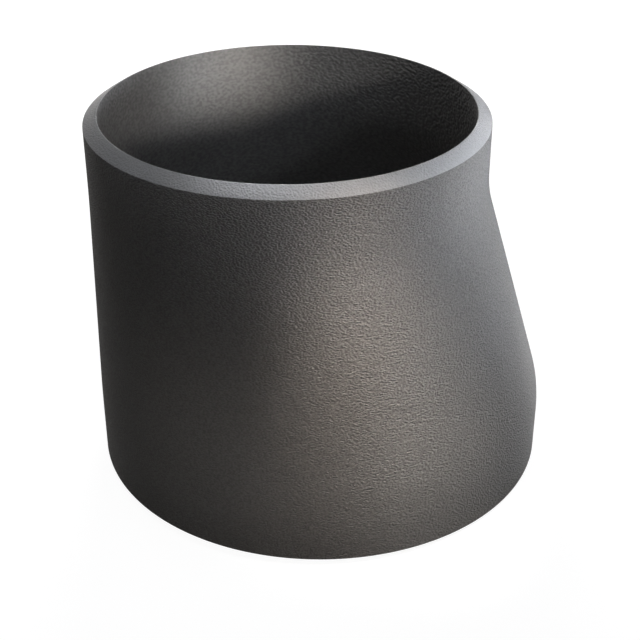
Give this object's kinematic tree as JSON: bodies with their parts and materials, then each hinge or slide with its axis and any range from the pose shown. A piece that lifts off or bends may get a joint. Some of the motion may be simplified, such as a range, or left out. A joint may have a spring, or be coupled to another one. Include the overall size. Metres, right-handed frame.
{
  "type": "eccentric reducer",
  "caption": "Eccentric steel pipe reducer with bevelled weld ends: a hollow offset cone that joins two pipe sizes with one side kept straight.",
  "frame": {"origin": "centre of the large end face, on which the part stands", "axes": "+Z from the large end to the small end along the pipe run, -X towards the flat side that stays in line, +X towards the sloping side"},
  "size_m": [0.1684, 0.1682, 0.14],
  "materials": {
    "carbon_steel": "shot-blasted carbon steel, satin grey"
  },
  "bodies": {
    "root": {"reducer_body": "carbon_steel"}
  },
  "joints": []
}
